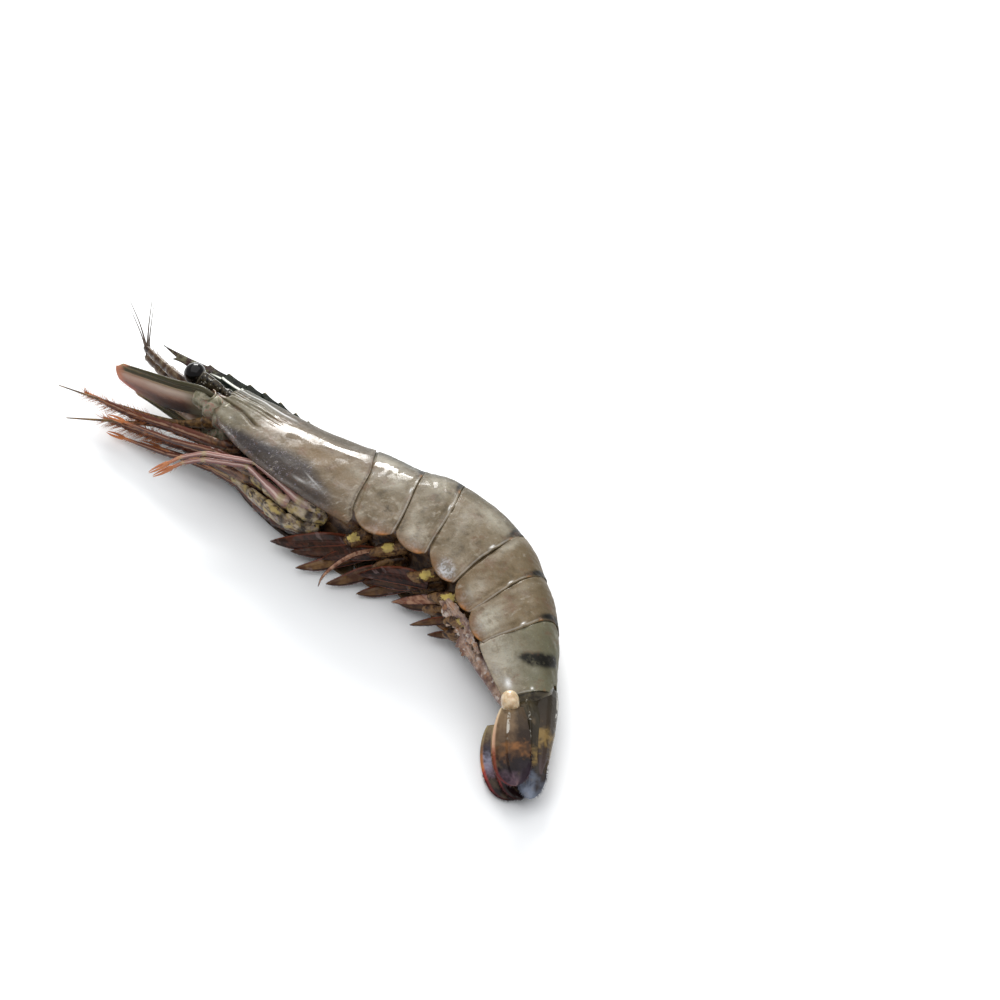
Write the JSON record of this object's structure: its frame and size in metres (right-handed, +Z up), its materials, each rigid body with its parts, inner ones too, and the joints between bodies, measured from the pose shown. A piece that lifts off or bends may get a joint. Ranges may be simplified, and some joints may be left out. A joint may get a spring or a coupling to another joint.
{
  "type": "raw tiger prawn",
  "caption": "Whole raw tiger prawn with head, shell and legs on, lying on its side with the tail curled down and the tail fan folded.",
  "frame": {"origin": "under the middle of the prawn's box, on the surface it lies on", "axes": "+X towards the tail fan, +Y towards the back, +Z up through the prawn's left side; the legs are towards -Y"},
  "size_m": [0.2134, 0.0766, 0.0271],
  "materials": {
    "shell": "wet glossy translucent shell, grey-olive with pale cloudy mottling and dark joint lines",
    "tail_fan": "wet glossy shell, dark olive brown to black with a red margin",
    "eye": "wet glossy black ball on a dark stalk",
    "scale": "wet pinkish brown blade with a dark outer stripe and a yellow tip",
    "feeler": "smooth brown, golden towards the tips",
    "leg": "wet pinkish brown with darker stripes and orange bristled tips",
    "swimmer": "wet dark maroon to black blades with reddish edges"
  },
  "bodies": {
    "root": {"carapace": "shell", "tail_plate_1": "shell", "tail_plate_2": "shell", "tail_plate_3": "shell", "tail_plate_4": "shell", "tail_plate_5": "shell", "tail_plate_6": "shell", "telson": "tail_fan", "tail_knob_left": "shell", "tail_knob_right": "shell", "tail_outer_left": "tail_fan", "tail_outer_right": "tail_fan", "tail_inner_left": "tail_fan", "tail_inner_right": "tail_fan", "eye_left": "eye", "eye_right": "eye", "antenna_scale_left": "scale", "antenna_scale_right": "scale", "feeler_left": "feeler", "feeler_right": "feeler", "antenna_left": "feeler", "antenna_right": "feeler", "mouth_leg_left": "leg", "mouth_leg_right": "leg", "leg_left_1": "leg", "leg_left_2": "leg", "leg_left_3": "leg", "leg_left_4": "leg", "leg_left_5": "leg", "leg_right_1": "leg", "leg_right_2": "leg", "leg_right_3": "leg", "leg_right_4": "leg", "leg_right_5": "leg", "swimmeret_left_1": "swimmer", "swimmeret_left_2": "swimmer", "swimmeret_left_3": "swimmer", "swimmeret_left_4": "swimmer", "swimmeret_left_5": "swimmer", "swimmeret_right_1": "swimmer", "swimmeret_right_2": "swimmer", "swimmeret_right_3": "swimmer", "swimmeret_right_4": "swimmer", "swimmeret_right_5": "swimmer"}
  },
  "joints": []
}
